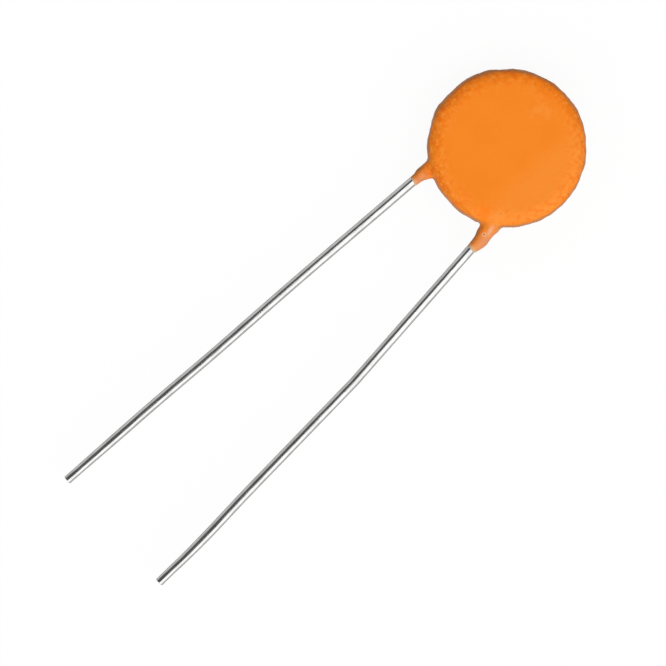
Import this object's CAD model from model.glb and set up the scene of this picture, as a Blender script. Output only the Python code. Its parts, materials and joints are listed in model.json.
# %% [markdown]
# # A ceramic disc capacitor
# A disc capacitor is a thin ceramic disc with a silver face on each side and a wire soldered to
# each face. The whole disc is dipped in orange resin, which runs a little way down both wires
# and sets as two necks. This lesson makes the resin skin and the two tinned wires, and gives
# the pieces that are sealed inside their finishes.
#
# The construction comes first: it is loaded as a fixed frame, and every new piece takes its
# size and place from it.

# %% Load the frame
import json
from math import atan2, cos, degrees, radians, sin, tan

import bmesh
import bpy
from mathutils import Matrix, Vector


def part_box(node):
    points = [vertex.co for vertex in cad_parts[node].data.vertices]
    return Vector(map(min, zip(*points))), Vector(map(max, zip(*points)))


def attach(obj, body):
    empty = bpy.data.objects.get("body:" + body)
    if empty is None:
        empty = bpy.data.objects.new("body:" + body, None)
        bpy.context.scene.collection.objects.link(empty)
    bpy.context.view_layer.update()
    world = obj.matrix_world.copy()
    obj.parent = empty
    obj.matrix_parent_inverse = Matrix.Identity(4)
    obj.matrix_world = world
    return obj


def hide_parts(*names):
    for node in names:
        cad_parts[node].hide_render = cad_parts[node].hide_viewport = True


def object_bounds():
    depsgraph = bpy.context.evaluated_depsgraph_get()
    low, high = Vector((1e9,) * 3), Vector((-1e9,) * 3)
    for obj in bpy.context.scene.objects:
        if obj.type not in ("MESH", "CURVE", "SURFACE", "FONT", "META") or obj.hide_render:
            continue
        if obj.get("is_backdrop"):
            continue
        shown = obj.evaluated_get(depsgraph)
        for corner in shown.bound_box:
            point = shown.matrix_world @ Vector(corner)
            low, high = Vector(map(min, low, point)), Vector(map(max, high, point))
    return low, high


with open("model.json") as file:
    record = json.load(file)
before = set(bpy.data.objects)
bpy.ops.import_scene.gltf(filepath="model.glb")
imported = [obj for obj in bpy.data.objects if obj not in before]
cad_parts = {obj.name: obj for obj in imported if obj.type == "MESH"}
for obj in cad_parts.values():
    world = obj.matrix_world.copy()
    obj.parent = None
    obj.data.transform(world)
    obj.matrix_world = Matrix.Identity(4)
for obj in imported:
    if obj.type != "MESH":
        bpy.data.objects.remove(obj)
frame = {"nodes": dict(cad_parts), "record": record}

frame_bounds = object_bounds()
print("frame nodes:", sorted(frame["nodes"]))

# %% [markdown]
# The part is only ten millimetres across. Some modifiers refuse very small distances, so each
# piece is modelled with one unit for one millimetre, and is shrunk to metres when it is done.
# The frame gives the sizes that all the pieces share.

# %% Read the main sizes from the frame
MM = 0.001
UP = Vector((0, 0, 1))
mounts = {mount["name"]: mount for mount in frame["record"]["mounts"]}


def node_box(name):
    """The lowest and highest corner of a frame node, in millimetres."""
    return [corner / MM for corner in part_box(name)]


coat_top = node_box("coating")[1]
disc_r = coat_top.x
thickness = coat_top.z
wire_r = mounts["left_lead_pin"]["dims"]["r_mm"]
middle_z = mounts["left_lead_pin"]["pos_m"][2] / MM
leg_rise = node_box("right_lead")[1].z - wire_r - middle_z
print(f"disc radius {disc_r:.2f}, thickness {thickness:.2f}, wire radius {wire_r:.2f} mm")
print(f"the legs lie {leg_rise:.2f} mm above and below the middle plane")

# %% [markdown]
# Both wires are bent to the same pattern. From the tip, a wire runs straight to the disc,
# climbs to its face at three in four and then turns flat along the face. Each wire is written
# down as the corners of that path, from the tip inwards. The bends round the corners off, so
# a few numbers say all that a traced curve would, and they are easy to change.

# %% Say how a wire is bent
bend_r = 0.7
slope = atan2(3, 4)
leg_turn = radians(27.89)
leg_length = 6.0


def way(splay):
    """The level direction from a tip to the disc, for a wire splayed from the Y axis."""
    return Vector((-sin(splay), cos(splay), 0))


def climb(landing, splay, side):
    """The shoulder and the inner end of a leg. side is 1 for the upper face, -1 for the lower."""
    shoulder = landing + way(splay) * leg_rise / tan(slope) + side * leg_rise * UP
    return [shoulder, shoulder + way(splay + side * leg_turn) * leg_length]


print(f"bends of {bend_r} mm, and a climb of {degrees(slope):.1f} degrees")

# %% [markdown]
# The frame's record gives the straight run up to each tip as a pin. On the left wire that run
# starts where its lowest bend ends, close to the disc. The right wire has one slight bend more
# on its way, so a second run joins its pin to the disc. Where a run meets the climb is the
# wire's landing.

# %% Find the corners of both wires
right_upper_run = 12.446
right_upper_splay = radians(4.2)


def pin_ends(name):
    """The inner end and the tip of the straight wire that a mount gives."""
    mount = mounts[name]
    middle, axis = Vector(mount["pos_m"]) / MM, Vector(mount["axis"])
    half = axis * mount["dims"]["length_mm"] / 2
    return middle - half, middle + half


left_start, left_tip = pin_ends("left_lead_pin")
left_splay = atan2(left_tip.x - left_start.x, left_start.y - left_tip.y)
left_landing = left_start + bend_r * tan(slope / 2) * way(left_splay)
left_corners = [left_tip, left_landing, *climb(left_landing, left_splay, -1)]

right_start, right_tip = pin_ends("right_lead_pin")
right_landing = right_start + right_upper_run * way(right_upper_splay)
right_corners = [right_tip, right_start, right_landing, *climb(right_landing, right_upper_splay, 1)]
for name, corners in (("left", left_corners), ("right", right_corners)):
    print(name, [tuple(round(value, 2) for value in corner) for corner in corners])

# %% [markdown]
# Modelling by hand in edit mode is a loop of two moves: select something, then run an operator
# on it. These helpers do both moves from code. An operator acts on all that is selected, so
# the selection is always cleared first.

# %% Helpers for selecting and editing
def deselect_all():
    """Leaves edit mode and selects nothing."""
    if bpy.context.object and bpy.context.object.mode != "OBJECT":
        bpy.ops.object.mode_set(mode="OBJECT")
    bpy.ops.object.select_all(action="DESELECT")


def choose(*pieces):
    """Selects these pieces and makes the first one active."""
    deselect_all()
    for piece in pieces:
        piece.select_set(True)
    bpy.context.view_layer.objects.active = pieces[0]


def name_new_piece(name):
    """Names the primitive that was just added, with its place moved into its mesh."""
    piece = bpy.context.object
    piece.name = piece.data.name = name
    bpy.ops.object.transform_apply(location=True, rotation=True, scale=True)
    return piece


def edit(piece, mode="VERT"):
    """Enters edit mode on one piece with nothing selected."""
    choose(piece)
    bpy.ops.object.mode_set(mode="EDIT")
    bpy.ops.mesh.select_mode(type=mode)
    bpy.ops.mesh.select_all(action="DESELECT")


def select_where(piece, kind, test):
    """In edit mode, selects the verts, edges or faces that pass a test."""
    mesh = bmesh.from_edit_mesh(piece.data)
    for item in getattr(mesh, kind):
        if test(item):
            item.select_set(True)
    bmesh.update_edit_mesh(piece.data)


def move_softly(move, reach):
    """Moves what is selected, and takes its surroundings along less and less up to reach."""
    bpy.ops.transform.translate(
        value=move, use_proportional_edit=True, proportional_edit_falloff="SMOOTH",
        proportional_size=reach,
    )


# %% [markdown]
# ## Drawing a round wire
# A wire is a round rod with bends. A curve with a round bevel could make it too. Here it is
# drawn the way it is formed: a ring of points is pulled along each straight and spun round
# each bend, which leaves even quads to work on. The spin operator turns against the angle that
# it is given, so the angle is negative.

# %% Pull and spin a ring along a path
RING_SIDES = 32
PULL_STEP = 1.0
BEND_STEPS = 8


def start_ring(name, at, along, radius):
    """A new piece that is one selected ring, square to a direction."""
    deselect_all()
    turn = along.to_track_quat("Z", "Y").to_euler()
    bpy.ops.mesh.primitive_circle_add(vertices=RING_SIDES, radius=radius, location=at, rotation=turn)
    ring = name_new_piece(name)
    edit(ring)
    bpy.ops.mesh.select_all(action="SELECT")
    return ring


def pull(move):
    """Extrudes the selected ring by a move."""
    bpy.ops.mesh.extrude_region_move(TRANSFORM_OT_translate={"value": move})


def widen(factor, centre):
    """Scales the selected ring about its centre."""
    bpy.ops.transform.resize(value=(factor, factor, factor), center_override=centre)


def swing(at, old_way, new_way, radius):
    """Spins the selected ring from one direction to another. Returns the bend's end."""
    axis = old_way.cross(new_way).normalized()
    centre = at + radius * axis.cross(old_way)
    bpy.ops.mesh.spin(steps=BEND_STEPS, angle=-old_way.angle(new_way), center=centre, axis=axis)
    return centre - radius * axis.cross(new_way)


def draw_along(corners, radius):
    """Pulls the selected ring through these corners, with a round bend at each inner one."""
    at = corners[0]
    for i, corner in enumerate(corners[1:], 1):
        old_way = (corner - corners[i - 1]).normalized()
        last = i == len(corners) - 1
        new_way = old_way if last else (corners[i + 1] - corner).normalized()
        end = corner - old_way * radius * tan(old_way.angle(new_way) / 2)
        steps = max(1, round((end - at).length / PULL_STEP))
        for _ in range(steps):
            pull((end - at) / steps)
        at = end if last else swing(end, old_way, new_way, radius)


# %% [markdown]
# ## The tinned leads
# Each lead is one length of round wire. Its end was cut by a blade and tumbled, so the rim of
# the cut is a little soft, which a small bevel gives. A ring that was pulled along a path is
# still open at both ends, so the ends are filled before they are bevelled.

# %% Close the ends of a rod
CUT_BEVEL = 0.045
CUT_BEVEL_STEPS = 3


def close_ends(piece):
    """Fills both open rings with a face and softens their rims."""
    bpy.ops.mesh.select_all(action="DESELECT")
    bpy.ops.mesh.select_mode(type="EDGE")
    select_where(piece, "edges", lambda edge: edge.is_boundary)
    bpy.ops.mesh.edge_face_add()
    bpy.ops.mesh.select_all(action="DESELECT")
    bpy.ops.mesh.select_mode(type="FACE")
    select_where(piece, "faces", lambda face: len(face.verts) == RING_SIDES)
    bpy.ops.mesh.region_to_loop()
    bpy.ops.mesh.bevel(offset=CUT_BEVEL, segments=CUT_BEVEL_STEPS)
    bpy.ops.mesh.select_all(action="SELECT")
    bpy.ops.mesh.normals_make_consistent(inside=False)


# %% [markdown]
# A wire that was shipped in a bag is never quite straight. Proportional editing bows it by a
# few hundredths of a millimetre, which is enough to break up its reflections, and draws its
# tip a little thinner, as the cut does.

# %% Bow a wire and thin its tip
TIP_THIN = 0.89
TIP_REACH = 5.0


def bow(piece, at_y, sideways, reach):
    """Pushes the wire sideways round one place along it."""
    edit(piece)
    select_where(piece, "verts", lambda vert: abs(vert.co.y - at_y) < PULL_STEP / 2)
    move_softly((sideways, 0, 0), reach)


def thin_tip(piece, tip):
    """Draws the wire thinner towards its tip."""
    edit(piece)
    select_where(piece, "verts", lambda vert: (vert.co - tip).length < 2 * wire_r)
    bpy.ops.transform.resize(
        value=(TIP_THIN, 1, TIP_THIN), center_override=tip, use_proportional_edit=True,
        proportional_edit_falloff="SMOOTH", proportional_size=TIP_REACH,
    )


# %% [markdown]
# The two wires are drawn alike, and differ only in their corners and their bows. The right one
# has its bows near the tip, past its slight bend.

# %% Draw the two leads
# Place along Y, sideways move and reach
LEFT_BOWS = [(-15, -0.045, 9), (-27, -0.045, 6)]
RIGHT_BOWS = [(-30.5, 0.055, 4), (-34.5, -0.06, 2.5)]


def draw_lead(name, corners, bows):
    """One wire with round bends and slight bows."""
    lead = start_ring(name, corners[0], corners[1] - corners[0], wire_r)
    draw_along(corners, bend_r)
    close_ends(lead)
    for at_y, sideways, reach in bows:
        bow(lead, at_y, sideways, reach)
    thin_tip(lead, corners[0])
    deselect_all()
    print(name, "has", len(lead.data.polygons), "faces")
    return lead


left_wire = draw_lead("left_wire", left_corners, LEFT_BOWS)
right_wire = draw_lead("right_wire", right_corners, RIGHT_BOWS)

# %% [markdown]
# ## The resin skin
# The skin is what the dip leaves: flat over the ceramic, round over its edge. It could be a
# profile spun round the Z axis. A cylinder whose two rims are bevelled until they nearly meet
# gives the same edge, and the bevel's own profile setting says how full it is.

# %% Make the coated disc
DISC_SIDES = 160
SKIN_ROOM = 0.03
RIM_ROUND = 0.98
RIM_STEPS = 10
RIM_FULLNESS = 0.67
deselect_all()
bpy.ops.mesh.primitive_cylinder_add(
    vertices=DISC_SIDES, radius=disc_r - SKIN_ROOM, depth=thickness, location=(0, 0, thickness / 2)
)
resin = name_new_piece("resin_coating")
edit(resin, "EDGE")
select_where(resin, "edges", lambda edge: any(len(face.verts) > 4 for face in edge.link_faces))
bpy.ops.mesh.bevel(offset=RIM_ROUND * thickness / 2, segments=RIM_STEPS, profile=RIM_FULLNESS)
deselect_all()
print("coated disc:", len(resin.data.polygons), "faces")

# %% [markdown]
# A dipped disc isn't a true circle. This one is a little flat between its wires. A few soft
# pushes on the rim, out or in, put it slightly out of round before it is meshed finely, while
# it is still easy to move.

# %% Push the rim out of round
# Degrees of the rim that a push takes hold of
HELD_SLICE = 1.5
# Heading in degrees, outward move and reach
RIM_PUSHES = [
    (268, -0.07, 2.4), (348, 0.025, 2.4), (178, -0.06, 0.8), (162, 0.04, 0.9), (196, 0.045, 1.2),
    (136, -0.035, 1.3),
]


def heading(co):
    """The angle round the disc at which a point lies, in degrees from the X axis."""
    return degrees(atan2(co.y, co.x)) % 360


def push_rim(piece, angle, outward, reach):
    """Moves the rim at one angle round the disc."""
    edit(piece)
    select_where(piece, "verts", lambda vert: abs(heading(vert.co) - angle) < HELD_SLICE)
    move_softly((outward * cos(radians(angle)), outward * sin(radians(angle)), 0), reach)
    deselect_all()


for angle, outward, reach in RIM_PUSHES:
    push_rim(resin, angle, outward, reach)
print(f"out of round: {resin.dimensions.x:.3f} by {resin.dimensions.y:.3f} mm")

# %% [markdown]
# Where a wire leaves the disc, the resin follows it as a neck. Each neck is a ring drawn along
# the wire's own path and made wider or narrower on its way: thin at its buried start, full over
# the bend and thin again at its lip, so it hugs the wire as the real one does.

# %% Draw the two necks
NECK_BURIED = 1.1
# From the landing to the lip: distance, radius and sideways shift
LEFT_RINGS = [(0.26, 0.42, 0.04), (0.45, 0.365, 0.045), (0.65, 0.35, 0.03), (0.98, 0.325, 0.01)]
RIGHT_RINGS = [
    (0.26, 0.54, 0.09), (0.5, 0.5, 0.11), (0.8, 0.45, 0.1), (1.08, 0.39, 0.07),
    (1.3, 0.345, 0.035), (1.48, 0.32, 0.01),
]


def draw_neck(name, corners, rings):
    """One neck, from its start under the disc's skin through these rings."""
    outer, landing, shoulder, leg_end = corners[-4:]
    along = (leg_end - shoulder).normalized()
    outward = (outer - landing).normalized()
    distance, radius, _ = rings[0]
    start, at = shoulder + along * NECK_BURIED, landing + outward * distance
    neck = start_ring(name, start, -along, radius)
    draw_along([start, shoulder, landing, at], bend_r)
    for distance, ring_r, shift in rings[1:]:
        target = landing + outward * distance + Vector((shift, 0, 0))
        pull(target - at)
        widen(ring_r / radius, target)
        at, radius = target, ring_r
    close_ends(neck)
    deselect_all()
    print(f"{name} ends {distance:.2f} mm past its bend")
    return neck


left_neck = draw_neck("left_neck", left_corners, LEFT_RINGS)
right_neck = draw_neck("right_neck", right_corners, RIGHT_RINGS)

# %% [markdown]
# Wet resin pools where a neck meets the disc, so the real skin slopes down there without a
# step. A long squashed ball, tilted along that slope, fills the step at each root. It is
# placed from the wire's landing, where the wire's bend ends.

# %% Fill the two roots
ROOT_SIDES = 32


def fill_root(name, landing, offset, half_size, tilt):
    """A squashed ball of resin near a landing, whose outer end is tilted down."""
    deselect_all()
    bpy.ops.mesh.primitive_uv_sphere_add(
        segments=ROOT_SIDES, ring_count=ROOT_SIDES // 2, radius=1,
        location=landing + Vector(offset), rotation=(tilt, 0, 0), scale=half_size,
    )
    root = name_new_piece(name)
    print(name, "is", " by ".join(f"{side:.2f}" for side in root.dimensions), "mm")
    return root


left_root = fill_root("left_root", left_landing, offset=(0.17, 0.55, 0.28),
                      half_size=(0.54, 1.05, 0.48), tilt=radians(32))
right_root = fill_root("right_root", right_landing, offset=(-0.05, 0.5, 0.32),
                       half_size=(0.6, 1.05, 0.5), tilt=radians(33))

# %% [markdown]
# From here on the resin is shaped by modifiers, and each one is applied as soon as it is set.
# A vertex group says how much of a modifier each point gets. It could be painted by hand, but
# a rule that reads a point's place is exact and can be repeated.

# %% Helpers for modifiers and vertex groups
def apply_modifier(piece, kind, **settings):
    """Adds a modifier with these settings and applies it."""
    choose(piece)
    modifier = piece.modifiers.new(kind.title(), kind)
    for setting, value in settings.items():
        setattr(modifier, setting, value)
    bpy.ops.object.modifier_apply(modifier=modifier.name)


def ease(value, low, high):
    """0 below low, 1 above high, and a smooth step between."""
    share = min(1, max(0, (value - low) / (high - low)))
    return share * share * (3 - 2 * share)


def weigh(piece, name, rule):
    """A vertex group whose weight at each point is what the rule gives for its place."""
    group = piece.vertex_groups.new(name=name)
    for vert in piece.data.vertices:
        weight = rule(vert.co)
        if weight > 0:
            group.add([vert.index], weight, "REPLACE")


# %% [markdown]
# The disc, the necks and the roots still pass through each other. A boolean union would leave
# sharp seams. A voxel remesh wraps them in one even skin instead, and smoothing then rounds
# the corners where a neck meets the disc, as wet resin does when it is drawn into a corner. A
# vertex group keeps the strong smoothing at the corners.

# %% Melt the disc and the necks into one skin
VOXEL = 0.06
EASING = 0.5
EASED_OVERALL = 8
EASED_AT_CORNERS = 50
CORNER_REACH = (0.6, 1.2)


def near_corner(co):
    """1 round the root of either neck, 0 past the corner's reach."""
    gaps = [min((co - corners[-3]).length, (co - corners[-2]).length)
            for corners in (left_corners, right_corners)]
    return 1 - ease(min(gaps), *CORNER_REACH)


choose(resin, left_neck, right_neck, left_root, right_root)
bpy.ops.object.join()
apply_modifier(resin, "REMESH", mode="VOXEL", voxel_size=VOXEL, use_smooth_shade=True)
weigh(resin, "corners", near_corner)
apply_modifier(resin, "SMOOTH", factor=EASING, iterations=EASED_OVERALL)
apply_modifier(resin, "SMOOTH", factor=EASING, iterations=EASED_AT_CORNERS, vertex_group="corners")
print("resin skin:", len(resin.data.polygons), "faces")

# %% [markdown]
# Dipped resin isn't perfectly even. Two displace modifiers push the skin inwards by a cloud
# pattern: a slow one that makes the rim a little wavy and a fine one for its pebbled grain.
# A bump in the material could fake the grain, but the outline would stay too clean. The flat
# faces keep still, because the coat sets smooth there.

# %% Give the skin its unevenness
RIM_START = 0.78 * disc_r
RIM_FULL = 0.95 * disc_r
NECK_FADE = 0.1


def press_in(piece, name, cloud_size, depth, level, group):
    """Moves the skin in and out by a cloud pattern. level is the cloud value that stays put."""
    cloud = bpy.data.textures.new(name, "CLOUDS")
    cloud.noise_scale = cloud_size
    cloud.noise_depth = 1
    apply_modifier(piece, "DISPLACE", texture=cloud, strength=depth, mid_level=level,
                   vertex_group=group, texture_coords="LOCAL")
    print(f"{name}: {depth} mm deep, {cloud_size} mm long")


def at_rim(co):
    """1 on the rim, 0 on the flat faces and on the necks."""
    outer = ease(Vector((co.x, co.y)).length, RIM_START, RIM_FULL)
    off_necks = ease(co.y, -disc_r - NECK_FADE, -disc_r + NECK_FADE)
    return outer * (1 - near_corner(co)) * off_necks


weigh(resin, "rim", at_rim)
press_in(resin, "slow waves", cloud_size=1.0, depth=0.13, level=0.55, group="rim")
press_in(resin, "pebbled grain", cloud_size=0.3, depth=0.055, level=0.6, group="rim")

# %% [markdown]
# A piece is finished when it is back at its real size, with its object at the origin and its
# place in its mesh. It then stands for its frame node, rides on the frame's body and is given
# the record's name for its finish.

# %% Shrink the pieces to metres and put them on the frame
SHARP_ANGLE = radians(40)


def finish_piece(piece, node):
    """Shrinks a piece to metres, shades it smooth and lets it stand for its frame node."""
    choose(piece)
    piece.vertex_groups.clear()
    piece.scale = (MM, MM, MM)
    bpy.ops.object.transform_apply(location=True, rotation=True, scale=True)
    bpy.ops.object.shade_smooth_by_angle(angle=SHARP_ANGLE)
    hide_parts(node)
    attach(piece, "root")
    size = [f"{side / MM:.2f}" for side in piece.dimensions]
    print(piece.name, "is", " by ".join(size), "mm")


finish_piece(resin, "coating")
finish_piece(left_wire, "left_lead")
finish_piece(right_wire, "right_lead")

# %% [markdown]
# ## Materials
# Each finish is a small graph of nodes around one Principled shader. Patterns read Object
# coordinates, which are metres here, so a mapping node turns them into millimetres first.
# Nothing here is an image: noise and ovals are placed in space, so there is no seam. In the
# node editor a graph is drawn by hand. In code, a helper adds a node and feeds its inputs.

# %% Helpers that add nodes
def new_material(name, roughness, metallic=0.0):
    """A material and its Principled shader."""
    material = bpy.data.materials.new(name)
    material.use_nodes = True
    shader = material.node_tree.nodes["Principled BSDF"]
    shader.inputs["Roughness"].default_value = roughness
    shader.inputs["Metallic"].default_value = metallic
    return material, shader


def feed(owner, socket, value):
    """Links a socket to another one, or sets its value."""
    if isinstance(value, bpy.types.NodeSocket):
        owner.node_tree.links.new(value, socket)
    else:
        socket.default_value = value


def node(owner, kind, settings=None, **inputs):
    """Adds a node, sets its own settings and feeds its inputs: by name, or _3 for number 3."""
    made = owner.node_tree.nodes.new(kind)
    for name, value in (settings or {}).items():
        setattr(made, name, value)
    for name, value in inputs.items():
        key = int(name[1:]) if name.startswith("_") else name.replace("_", " ")
        feed(owner, made.inputs[key], value)
    return made


# %% [markdown]
# A few kinds of node are needed again and again: a step of arithmetic, a smooth range and a
# shade laid over a colour. A helper for each keeps a long chain readable.

# %% Helpers that work on values and colours
def compute(owner, operation, first, second=0.0):
    """One step of arithmetic."""
    return node(owner, "ShaderNodeMath", {"operation": operation}, _0=first, _1=second).outputs[0]


def between(owner, value, low, high, to_low=0.0, to_high=1.0):
    """Maps a value from one range to another, smoothly, and holds it at the ends."""
    made = node(owner, "ShaderNodeMapRange", {"interpolation_type": "SMOOTHSTEP"}, Value=value,
                From_Min=low, From_Max=high, To_Min=to_low, To_Max=to_high)
    return made.outputs[0]


def cover(owner, colour, share, shade):
    """Lays a shade over a colour by a share that varies over the surface."""
    made = node(owner, "ShaderNodeMix", {"data_type": "RGBA"}, _0=share, _6=colour, _7=shade)
    return made.outputs[2]


def dress(piece, material):
    """Gives a piece this one material."""
    piece.data.materials.clear()
    piece.data.materials.append(material)
    print(piece.name, "wears", material.name, "of", len(material.node_tree.nodes), "nodes")


# %% [markdown]
# A pattern is a share from 0 to 1 for each point of a surface. It comes from noise, from an
# upright oval column that part of the piece lies in, or from how far a point lies one way.
# Painting the surface could give the same shares, but only for one size of the piece.

# %% Helpers that place patterns
def millimetres(material, stretch=(1, 1, 1), turn=0.0):
    """Object coordinates in millimetres, stretched and turned about Z."""
    place = node(material, "ShaderNodeTexCoord").outputs["Object"]
    turned = node(material, "ShaderNodeMapping", Vector=place, Rotation=(0, 0, turn)).outputs[0]
    scale = tuple(side / MM for side in stretch)
    return node(material, "ShaderNodeMapping", Vector=turned, Scale=scale).outputs[0]


def noise(material, place, scale, detail=2.0, roughness=0.5):
    """A cloudy pattern. scale is how many waves there are to a millimetre."""
    made = node(material, "ShaderNodeTexNoise", Vector=place, Scale=scale, Detail=detail,
                Roughness=roughness)
    return made.outputs[0]


def oval(material, place, centre, half_size, turn=0.0, soft=0.5):
    """1 inside an upright oval column and 0 outside. soft is the share of it that fades out."""
    inside = node(material, "ShaderNodeMapping", {"vector_type": "TEXTURE"}, Vector=place,
                  Location=(*centre[:2], middle_z), Rotation=(0, 0, turn),
                  Scale=(*half_size, 2 * disc_r))
    reach = node(material, "ShaderNodeVectorMath", {"operation": "LENGTH"}, _0=inside.outputs[0])
    return between(material, reach.outputs["Value"], 1.0, 1.0 - soft)


def along(material, place, direction):
    """How far a point lies in a direction from the middle of the disc."""
    made = node(material, "ShaderNodeVectorMath", {"operation": "DOT_PRODUCT"}, _0=place,
                _1=direction)
    return made.outputs["Value"]


def bump(material, height, depth):
    """A bump of this depth in millimetres."""
    made = node(material, "ShaderNodeBump", Height=height, Distance=depth * MM, Strength=1.0)
    return made.outputs[0]


# %% [markdown]
# ## The orange resin
# The skin is filled phenolic resin: satin and slightly cloudy. Its colour could be one orange
# with a noise over it, but the real one looks different from place to place, so the colour is
# built up in coats, each laid over the last by its own share. Seen from one side only, a shade
# of the resin can't be told from light and shade, and some of these coats stand for both. They
# stay where they are under any light. The first coats are the plain face, which is a shade
# paler towards one side and at one scuffed spot.

# %% Mix the plain face
RESIN = (0.94, 0.242, 0.009, 1)
RESIN_DULL = (0.93, 0.233, 0.006, 1)
RESIN_LIGHT = (0.96, 0.30, 0.035, 1)
RESIN_ROUGHNESS = 0.5
RESIN_SPECULAR = 0.2
PALE_SIDE = (1, 0, 0)
PALE_SHARE = 0.35
SCUFF_PLACE = (-0.3, 3.0)
SCUFF_SIZE = (1.1, 1.0)
SCUFF_SHARE = 0.5
resin_look, resin_shader = new_material("orange resin", RESIN_ROUGHNESS)
resin_shader.inputs["Specular IOR Level"].default_value = RESIN_SPECULAR
spot = millimetres(resin_look)
cloudy = between(resin_look, noise(resin_look, spot, 0.5), 0.35, 0.65)
colour = cover(resin_look, RESIN, cloudy, RESIN_DULL)
pale = between(resin_look, along(resin_look, spot, PALE_SIDE), 0.25 * disc_r, 0.55 * disc_r,
               0.0, PALE_SHARE)
colour = cover(resin_look, colour, pale, RESIN_LIGHT)
scuff = compute(resin_look, "MULTIPLY", oval(resin_look, spot, SCUFF_PLACE, SCUFF_SIZE),
                between(resin_look, noise(resin_look, spot, 2.0), 0.4, 0.6, 0.0, SCUFF_SHARE))
colour = cover(resin_look, colour, scuff, RESIN_LIGHT)
print("plain face:", len(resin_look.node_tree.nodes), "nodes")

# %% [markdown]
# Towards the rim there are light and deep specks, perhaps of the filler, and on one side the
# orange is richer. Both depend on how far a point is from the middle of the disc, so they
# follow the rim whatever the disc's size.

# %% Speckle and deepen the rim
RESIN_RICH = (0.98, 0.212, 0.0, 1)
RESIN_DEEP = (0.90, 0.175, 0.0, 1)
RICH_SIDE = (-0.71, 0.70, 0)
ROUGH_SIDE = (-1, 0, 0)
# Waves to a millimetre, the noise values at which a speck starts and is full, and its shade
SPECKS = [(4.4, 0.52, 0.62, RESIN_LIGHT), (3.7, 0.50, 0.60, RESIN_DEEP)]
corner = node(resin_look, "ShaderNodeSeparateXYZ", Vector=spot).outputs
flat = node(resin_look, "ShaderNodeCombineXYZ", X=corner["X"], Y=corner["Y"]).outputs[0]
radius = node(resin_look, "ShaderNodeVectorMath", {"operation": "LENGTH"}, _0=flat).outputs["Value"]


def towards_rim(low, high, most=1.0):
    """0 up to one share of the disc's radius, and the most that it covers from another one on."""
    return between(resin_look, radius, low * disc_r, high * disc_r, 0.0, most)


rich_side = between(resin_look, along(resin_look, spot, RICH_SIDE), 0.0, disc_r)
rich = compute(resin_look, "MULTIPLY", rich_side, towards_rim(0.76, 0.92, 0.8))
colour = cover(resin_look, colour, rich, RESIN_RICH)
rough_side = between(resin_look, along(resin_look, spot, ROUGH_SIDE), -0.5 * disc_r, 0.7 * disc_r,
                     0.65, 1.0)
speckled = compute(resin_look, "MULTIPLY", towards_rim(0.66, 0.95), rough_side)
for waves, low, high, shade in SPECKS:
    specks = between(resin_look, noise(resin_look, spot, waves, 3.0), low, high)
    colour = cover(resin_look, colour, compute(resin_look, "MULTIPLY", speckled, specks), shade)
print("speckled rim:", len(resin_look.node_tree.nodes), "nodes")

# %% [markdown]
# From above, the disc has a dark edge that is wider on the rich side. Most of it is likely to
# be shade, because the rim turns away from the light there. The light here doesn't give it, so
# it is painted on, and from the side it shows as a brown band. It doesn't run across the necks.
# A share for a neck is an oval placed from the wire's landing, so it stays on the neck if the
# wire moves.

# %% Darken the edge between the necks
RESIN_FLANK = (0.48, 0.182, 0.045, 1)


def by_neck(landing, offset, half_size, turn=0.0, soft=0.8):
    """An oval share on a neck, placed from the wire's landing."""
    return oval(resin_look, spot, landing + Vector((*offset, 0)), half_size, turn, soft)


def by_both(left, right):
    """One oval share on each neck. Each side is (offset, half size, turn, soft)."""
    return compute(resin_look, "MAXIMUM", by_neck(left_landing, *left),
                   by_neck(right_landing, *right))


on_neck = by_both(((0.12, -0.2), (0.85, 1.45), left_splay, 0.45),
                  ((0.05, -0.35), (0.95, 1.6), right_upper_splay, 0.45))
edge = compute(resin_look, "MULTIPLY", rich_side, towards_rim(0.92, 0.965, 0.85))
edge = compute(resin_look, "MAXIMUM", edge, towards_rim(0.955, 0.99, 0.9))
flank = compute(resin_look, "MULTIPLY", compute(resin_look, "SUBTRACT", 1.0, on_neck), edge)
colour = cover(resin_look, colour, flank, RESIN_FLANK)
print("dark edge:", len(resin_look.node_tree.nodes), "nodes")

# %% [markdown]
# The necks are the same resin. From above, one flank of each is paler, nearly salmon, and the
# other is dark, which may be light and shade too and is painted on like the edge. The right
# wire lifts the resin on the face into a lighter ridge, with a pale crest where the wire leaves
# the disc and a rich orange beside it.

# %% Tint the necks
RESIN_THIN = (0.70, 0.278, 0.115, 1)
RESIN_CREST = (0.86, 0.42, 0.20, 1)
DARK_TURN = radians(8)
RIDGE_TURN = radians(20)
RIDGE_SHARE = 0.6
thin = by_both(((0.23, -0.67), (0.6, 1.1), left_splay),
               ((0.43, -0.5), (0.68, 1.6), right_upper_splay))
patchy = between(resin_look, noise(resin_look, spot, 3.5, 3.0), 0.38, 0.6, 0.55, 1.0)
colour = cover(resin_look, colour, compute(resin_look, "MULTIPLY", thin, patchy), RESIN_THIN)
dark = by_both(((-0.36, -0.22), (0.36, 1.1), left_splay, 1.0),
               ((-0.3, -0.6), (0.28, 1.3), right_upper_splay + DARK_TURN, 1.0))
colour = cover(resin_look, colour, dark, RESIN_FLANK)
pooled = by_neck(right_landing, (-0.92, 0.76), (0.75, 0.7), soft=1.0)
colour = cover(resin_look, colour, pooled, RESIN_RICH)
ridge = by_neck(right_landing, (-0.15, 1.0), (0.6, 0.75), RIDGE_TURN)
ridge = compute(resin_look, "MULTIPLY", ridge, RIDGE_SHARE)
colour = cover(resin_look, colour, ridge, RESIN_LIGHT)
crest = by_neck(right_landing, (0.12, 0.25), (0.22, 0.55), RIDGE_TURN, 1.0)
colour = cover(resin_look, colour, crest, RESIN_CREST)
print("tinted necks:", len(resin_look.node_tree.nodes), "nodes")

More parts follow.
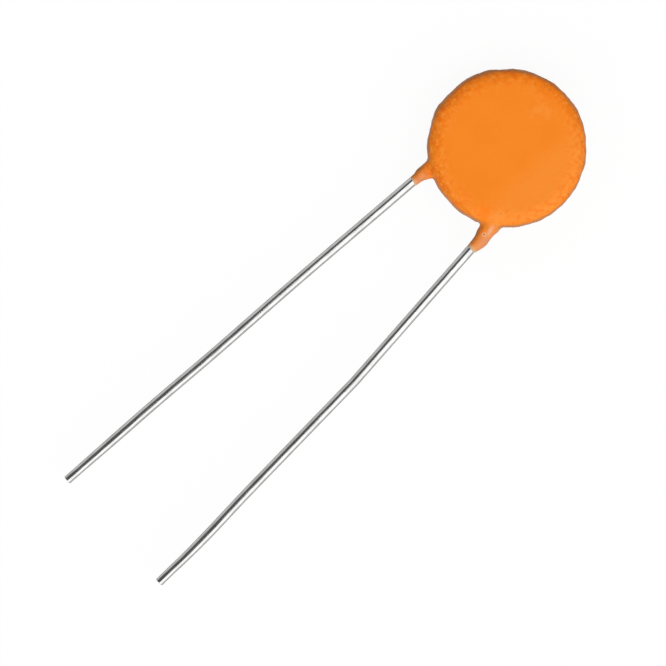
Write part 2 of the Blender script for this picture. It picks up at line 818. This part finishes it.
# %% [markdown]
# Each neck ends in a ragged pale lip, where the resin ran out. A few dark dots in lighter rings
# are taken for bubbles that burst while it set. The lip is a straight line that noise pushes
# about.

# %% Mark the lips and the burst bubbles
RESIN_PALE = (0.62, 0.42, 0.23, 1)
RESIN_PIT = (0.28, 0.11, 0.03, 1)
LIP_WAY = (0.06, 1, 0)
LIP_START = -5.7
LIP_FULL = -6.0
LIP_RAGGED = 0.3
RING_TO_HOLE = 2.8
BUBBLE_SOFT = 0.4
# Offset from the right landing, radius of the hole, and the share of its light ring
BUBBLES = [
    ((0.035, -0.205), 0.06, 0.8), ((0.26, -1.0), 0.035, 0.3), ((0.63, 1.78), 0.03, 0.1),
    ((-0.15, 1.4), 0.045, 0.1),
]
ragged = compute(resin_look, "MULTIPLY", noise(resin_look, spot, 5.0), LIP_RAGGED)
lip_line = compute(resin_look, "SUBTRACT", along(resin_look, spot, LIP_WAY), ragged)
colour = cover(resin_look, colour, between(resin_look, lip_line, LIP_START, LIP_FULL), RESIN_PALE)
for offset, hole_r, ring_share in BUBBLES:
    ring_r = RING_TO_HOLE * hole_r
    ring = by_neck(right_landing, offset, (ring_r, ring_r), soft=BUBBLE_SOFT)
    ring = compute(resin_look, "MULTIPLY", ring, ring_share)
    colour = cover(resin_look, colour, ring, RESIN_CREST)
    hole = by_neck(right_landing, offset, (hole_r, hole_r), soft=BUBBLE_SOFT)
    colour = cover(resin_look, colour, hole, RESIN_PIT)
feed(resin_look, resin_shader.inputs["Base Color"], colour)
print("all coats:", len(resin_look.node_tree.nodes), "nodes")

# %% [markdown]
# The pebbles were pressed into the skin itself. What is finer than they are never shows in the
# outline, so a bump is enough for it.

# %% Give the resin its fine grain
GRAIN_DEPTH = 0.02
grain = noise(resin_look, spot, 6.0, 3.0, 0.6)
feed(resin_look, resin_shader.inputs["Normal"], bump(resin_look, grain, GRAIN_DEPTH))
dress(resin, resin_look)

# %% [markdown]
# ## The tinned wire
# The wire is steel with a coat of bright tin. One grey metal would do from far away. Close up,
# drawing and handling leave fine marks along the wire, so a noise that is stretched along it
# drives the roughness and a very small bump, and slow blotches dull the tin.

# %% Tin the leads
TIN = (0.55, 0.55, 0.545, 1)
TIN_DULL = (0.46, 0.46, 0.455, 1)
TIN_EDGE = (0.12, 0.12, 0.12, 1)
TIN_ROUGHNESS = (0.1, 0.2)
MARK_STRETCH = (14, 0.25, 14)
MARK_DEPTH = 0.001


def tinned_finish(name, splay):
    """Bright tin with marks along a wire that is splayed from the Y axis."""
    material, shader = new_material(name, roughness=TIN_ROUGHNESS[1], metallic=1.0)
    shader.inputs["Specular Tint"].default_value = TIN_EDGE
    marks = noise(material, millimetres(material, MARK_STRETCH, splay), 1.0, 3.0, 0.6)
    blotches = between(material, noise(material, millimetres(material), 1.2, 3.0), 0.35, 0.7)
    feed(material, shader.inputs["Base Color"], cover(material, TIN, blotches, TIN_DULL))
    feed(material, shader.inputs["Roughness"], between(material, marks, 0.3, 0.7, *TIN_ROUGHNESS))
    feed(material, shader.inputs["Normal"], bump(material, marks, MARK_DEPTH))
    return material


dress(left_wire, tinned_finish("tinned left wire", left_splay))
dress(right_wire, tinned_finish("tinned right wire", right_upper_splay))

# %% [markdown]
# ## The sealed pieces
# The ceramic, its silver faces and the solder keep their frame shapes, because nobody sees
# them. They still get the finishes that they have before dipping: fired ceramic, silver that
# was screen printed on it, and solder.

# %% Finish the sealed pieces
def sealed_finish(name, look, light, dark, waves, depth):
    """A grainy finish. look is (roughness, metallic), and the grain has light and dark tones."""
    material, shader = new_material(name, *look)
    pattern = noise(material, millimetres(material), waves, 3.0)
    feed(material, shader.inputs["Base Color"], cover(material, (*light, 1), pattern, (*dark, 1)))
    feed(material, shader.inputs["Normal"], bump(material, pattern, depth))
    return material


ceramic = sealed_finish("fired ceramic", (0.7, 0.0), (0.66, 0.54, 0.4), (0.55, 0.43, 0.3), 12.0, 0.01)
silver = sealed_finish("fired silver", (0.45, 1.0), (0.86, 0.85, 0.82), (0.72, 0.7, 0.66), 20.0, 0.005)
solder = sealed_finish("soft solder", (0.35, 1.0), (0.66, 0.67, 0.68), (0.52, 0.53, 0.55), 4.0, 0.02)
dress(frame["nodes"]["ceramic_disc"], ceramic)
for side in ("upper", "lower"):
    dress(frame["nodes"][side + "_electrode"], silver)
for side in ("left", "right"):
    dress(frame["nodes"][side + "_solder_joint"], solder)

# %% [markdown]
# ## Stage
# The part lies on a white table. A table that is lit until it looks white would bleach the
# orange, so the table is a plain white only where the camera or a reflection sees it, with a
# small share of real white that takes the part's shadow. The light that it bounces up is kept
# low, which leaves the underside of the rim dark.

# %% Lay the table
TABLE_SIZE = 20.0
TABLE_BOUNCE = 0.15
SHADOW_SHARE = 0.07
WHITE = (1, 1, 1, 1)


def seen_directly(owner):
    """1 for a ray from the camera, or by way of a reflection or a clear thing, 0 for light."""
    ray = node(owner, "ShaderNodeLightPath").outputs
    seen = compute(owner, "MAXIMUM", ray["Is Camera Ray"], ray["Is Glossy Ray"])
    return compute(owner, "MAXIMUM", seen, ray["Is Transmission Ray"])


deselect_all()
bpy.ops.mesh.primitive_plane_add(size=TABLE_SIZE)
table = bpy.context.object
table.name = "table"
table_look, table_shader = new_material("white table", roughness=1.0)
table_shader.inputs["Base Color"].default_value = (TABLE_BOUNCE, TABLE_BOUNCE, TABLE_BOUNCE, 1)
table_shader.inputs["Specular IOR Level"].default_value = 0.0
plain = node(table_look, "ShaderNodeEmission", Color=WHITE).outputs[0]
lit = node(table_look, "ShaderNodeBsdfDiffuse", Color=WHITE).outputs[0]
white = node(table_look, "ShaderNodeMixShader", _0=SHADOW_SHARE, _1=plain, _2=lit).outputs[0]
shown = node(table_look, "ShaderNodeMixShader", _0=seen_directly(table_look),
             _1=table_shader.outputs[0], _2=white)
feed(table_look, table_look.node_tree.nodes["Material Output"].inputs["Surface"], shown.outputs[0])
dress(table, table_look)
table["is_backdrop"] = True

# %% [markdown]
# The light is a cloudy sky with a dark gap in it. A round wire mirrors the sky as bands along
# its length, so a ramp across the sky gives each wire its white side, its dark line and its
# grey side. Area lamps could do this too, but the bands are easier to place one by one. They
# were placed by eye for the view from above, and they belong to this stage, not to the tin.

# %% Band the sky
SKY_WAY = (0.870, -0.492, 0)
SKY_BRIGHT = 2.0
# How far along SKY_WAY each band is placed, and its level
SKY_BANDS = [
    (-1.0, 0.4), (-0.77, 0.4), (-0.66, 0.07), (-0.04, 0.06), (0.055, 0.45), (0.13, 0.9),
    (0.235, 1.0), (1.0, 1.0),
]
sky = bpy.data.worlds.new("studio sky")
bpy.context.scene.world = sky
sky.use_nodes = True


def banded(way):
    """The bands, by how far a ray looks along SKY_WAY."""
    across = node(sky, "ShaderNodeMapRange", Value=way, From_Min=-1.0, From_Max=1.0)
    bands = node(sky, "ShaderNodeValToRGB", Fac=across.outputs[0])
    ramp = bands.color_ramp
    while len(ramp.elements) < len(SKY_BANDS):
        ramp.elements.new(1.0)
    for element, (at, level) in zip(ramp.elements, SKY_BANDS):
        element.position = (at + 1) / 2
        element.color = (level, level, level, 1)
    return node(sky, "ShaderNodeVectorMath", {"operation": "SCALE"}, _0=bands.outputs[0],
                Scale=SKY_BRIGHT).outputs[0]


look = node(sky, "ShaderNodeTexCoord").outputs["Generated"]
look_axes = node(sky, "ShaderNodeSeparateXYZ", Vector=look).outputs
look_way = along(sky, look, SKY_WAY)
print("sky of", len(SKY_BANDS), "bands")

# %% [markdown]
# A dark thing near a wire is mirrored wider at one end of it than at the other. This sky is
# endlessly far away, so its dark gap is made a wedge instead: where it is seen, its bright edge
# slides with the ray's heading along the wires. The sky near the horizon is dim for the light,
# so the rim darkens towards the table, and white where it is seen, so the table has no visible
# far edge. So the sky that is seen isn't the one that lights the part, as no real sky would do.

# %% Light the sky
# Headings along Y between which the gap slides, how far it slides, and where it holds still
GAP_TURN = (-0.055, 0.04)
GAP_SLIDE = (-0.32, 0.24)
GAP_HOLD = (-0.8, 0.0)
SKY_SOFT = 0.3
HORIZON = (0.1, 0.3)
LOW_SKY = (0.27, 0.27, 0.27, 1)
slide = compute(sky, "MULTIPLY", between(sky, look_axes["Y"], *GAP_TURN, *GAP_SLIDE),
                between(sky, look_way, *GAP_HOLD))
seen_bands = banded(compute(sky, "ADD", look_way, slide))
soft_bands = cover(sky, banded(look_way), SKY_SOFT, WHITE)
above = between(sky, look_axes["Z"], *HORIZON)
seen_sky = cover(sky, WHITE, above, seen_bands)
lighting_sky = cover(sky, LOW_SKY, above, soft_bands)
sky_colour = cover(sky, lighting_sky, seen_directly(sky), seen_sky)
feed(sky, sky.node_tree.nodes["Background"].inputs["Color"], sky_colour)
print("sky of", len(sky.node_tree.nodes), "nodes")

# %% [markdown]
# The camera looks straight down from far away through a long lens, which keeps the outline of
# the disc a circle. Its distance comes from the width of table that it should show.

# %% Place the camera
LENS = 200
SENSOR = 36
VIEW_WIDTH = 41.6
VIEW_CENTRE = (0.63, -15.83)
VIEW_TURN = radians(45.5)
camera_data = bpy.data.cameras.new("camera")
camera_data.lens = LENS
camera_data.sensor_width = SENSOR
camera = bpy.data.objects.new("camera", camera_data)
bpy.context.collection.objects.link(camera)
camera.location = Vector((*VIEW_CENTRE, VIEW_WIDTH * LENS / SENSOR + middle_z)) * MM
camera.rotation_euler = (0, 0, VIEW_TURN)
bpy.context.scene.camera = camera
bpy.context.scene.view_settings.view_transform = "Standard"
print("camera at", [round(value, 4) for value in camera.location], "m")

# %% [markdown]
# The last cell compares the box of the dressed part with the box of the frame, and hands the
# scene over.

# %% Check the size and finish
visual_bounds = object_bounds()
for name, bounds in (("frame", frame_bounds), ("visual", visual_bounds)):
    print(name, [[round(value / MM, 3) for value in corner] for corner in bounds], "mm")
